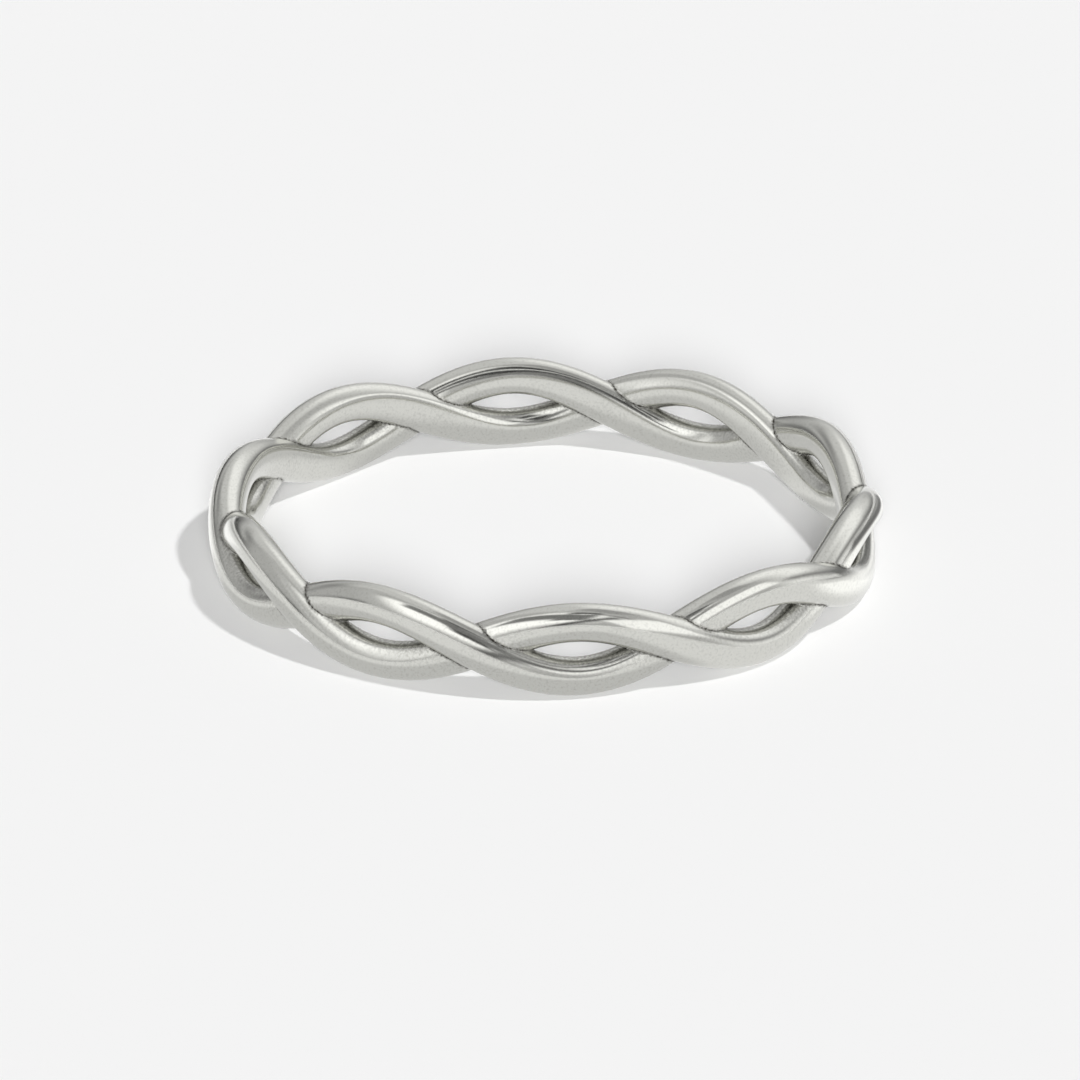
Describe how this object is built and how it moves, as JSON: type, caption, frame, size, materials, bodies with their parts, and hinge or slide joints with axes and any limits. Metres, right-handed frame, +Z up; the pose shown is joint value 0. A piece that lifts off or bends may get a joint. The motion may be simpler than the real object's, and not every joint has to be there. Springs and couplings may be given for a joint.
{
  "type": "twist ring",
  "caption": "Finger ring of polished white metal: strands twisted round each other like a rope and joined where they cross, with pointed oval openings between them.",
  "frame": {"origin": "on the finger axis, in the plane that the band rests on", "axes": "+Z up along the finger axis; X and Y across the finger, alike because the twist repeats all the way round"},
  "size_m": [0.0198, 0.0198, 0.0028],
  "materials": {
    "white_metal": "polished"
  },
  "bodies": {
    "root": {"twisted_band": "white_metal"}
  },
  "joints": []
}
